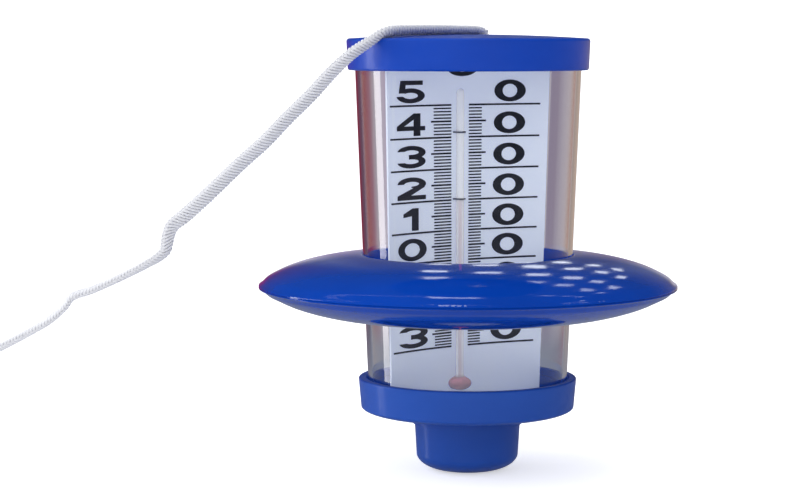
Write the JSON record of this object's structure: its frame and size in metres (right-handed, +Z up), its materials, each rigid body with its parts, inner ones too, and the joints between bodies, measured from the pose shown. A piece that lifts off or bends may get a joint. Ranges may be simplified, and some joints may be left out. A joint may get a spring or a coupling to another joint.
{
  "type": "floating pool thermometer",
  "caption": "Floating pool thermometer: a clear capped tube with a scale card and spirit thermometer inside, a ring float round it, and a cord from its top cap.",
  "frame": {"origin": "centre of the flat bottom of the nose, on the tube's axis", "axes": "+Z up along the tube's axis towards the top cap, -Y the way the scale card faces, -X the way the cord leaves its hole over the cap"},
  "size_m": [0.223, 0.1473, 0.1543],
  "materials": {
    "cap_blue": "glossy injection-moulded blue plastic",
    "cup_blue": "satin injection-moulded blue plastic",
    "float_blue": "glossy blow-moulded blue plastic",
    "clear_plastic": "clear polished plastic",
    "card_white": "smooth white sheet plastic",
    "ink_black": "printed ink",
    "glass": "drawn glass",
    "spirit_red": "tinted liquid",
    "wire": "fine drawn wire",
    "cord_white": "soft white braid",
    "seal_rubber": "soft black rubber",
    "plug_white": "moulded plastic",
    "ballast_steel": "dull zinc-grey slug"
  },
  "bodies": {
    "body": {"clear_tube": "clear_plastic", "top_cap": "cap_blue", "top_seal": "seal_rubber", "bottom_cap": "cup_blue", "bottom_seal": "seal_rubber", "ballast_weight": "ballast_steel", "ballast_cover": "plug_white", "cord_knot": "cord_white", "cord_plug": "plug_white", "scale_card": "card_white", "scale_print": "ink_black", "capillary_glass": "glass", "spirit_bulb": "spirit_red", "capillary_ties": "wire"},
    "grip": {"float_grip_ring": "seal_rubber"},
    "float": {"float_upper_shell": "float_blue", "float_lower_shell": "float_blue"},
    "spirit": {"spirit_column": "spirit_red", "spirit_tip": "spirit_red"},
    "cord": {"cord": "cord_white"}
  },
  "joints": [
    {"name": "float_slide", "type": "slide", "parent": "body", "child": "grip", "axis": [0, 0, 1], "range_m": [-0.02, 0]},
    {"name": "float_turn", "type": "hinge", "parent": "grip", "child": "float", "pos_m": [0, 0, 0.0646], "axis": [0, 0, 1], "continuous": true},
    {"name": "spirit_rise", "type": "slide", "parent": "body", "child": "spirit", "axis": [0, 0, 1], "range_m": [-0.051, 0.033], "deforming": ["spirit_column"]},
    {"name": "cord_lift", "type": "hinge", "parent": "body", "child": "cord", "pos_m": [0.0062, 0, 0.15305], "axis": [0, 1, 0], "range_deg": [0, 60]}
  ]
}
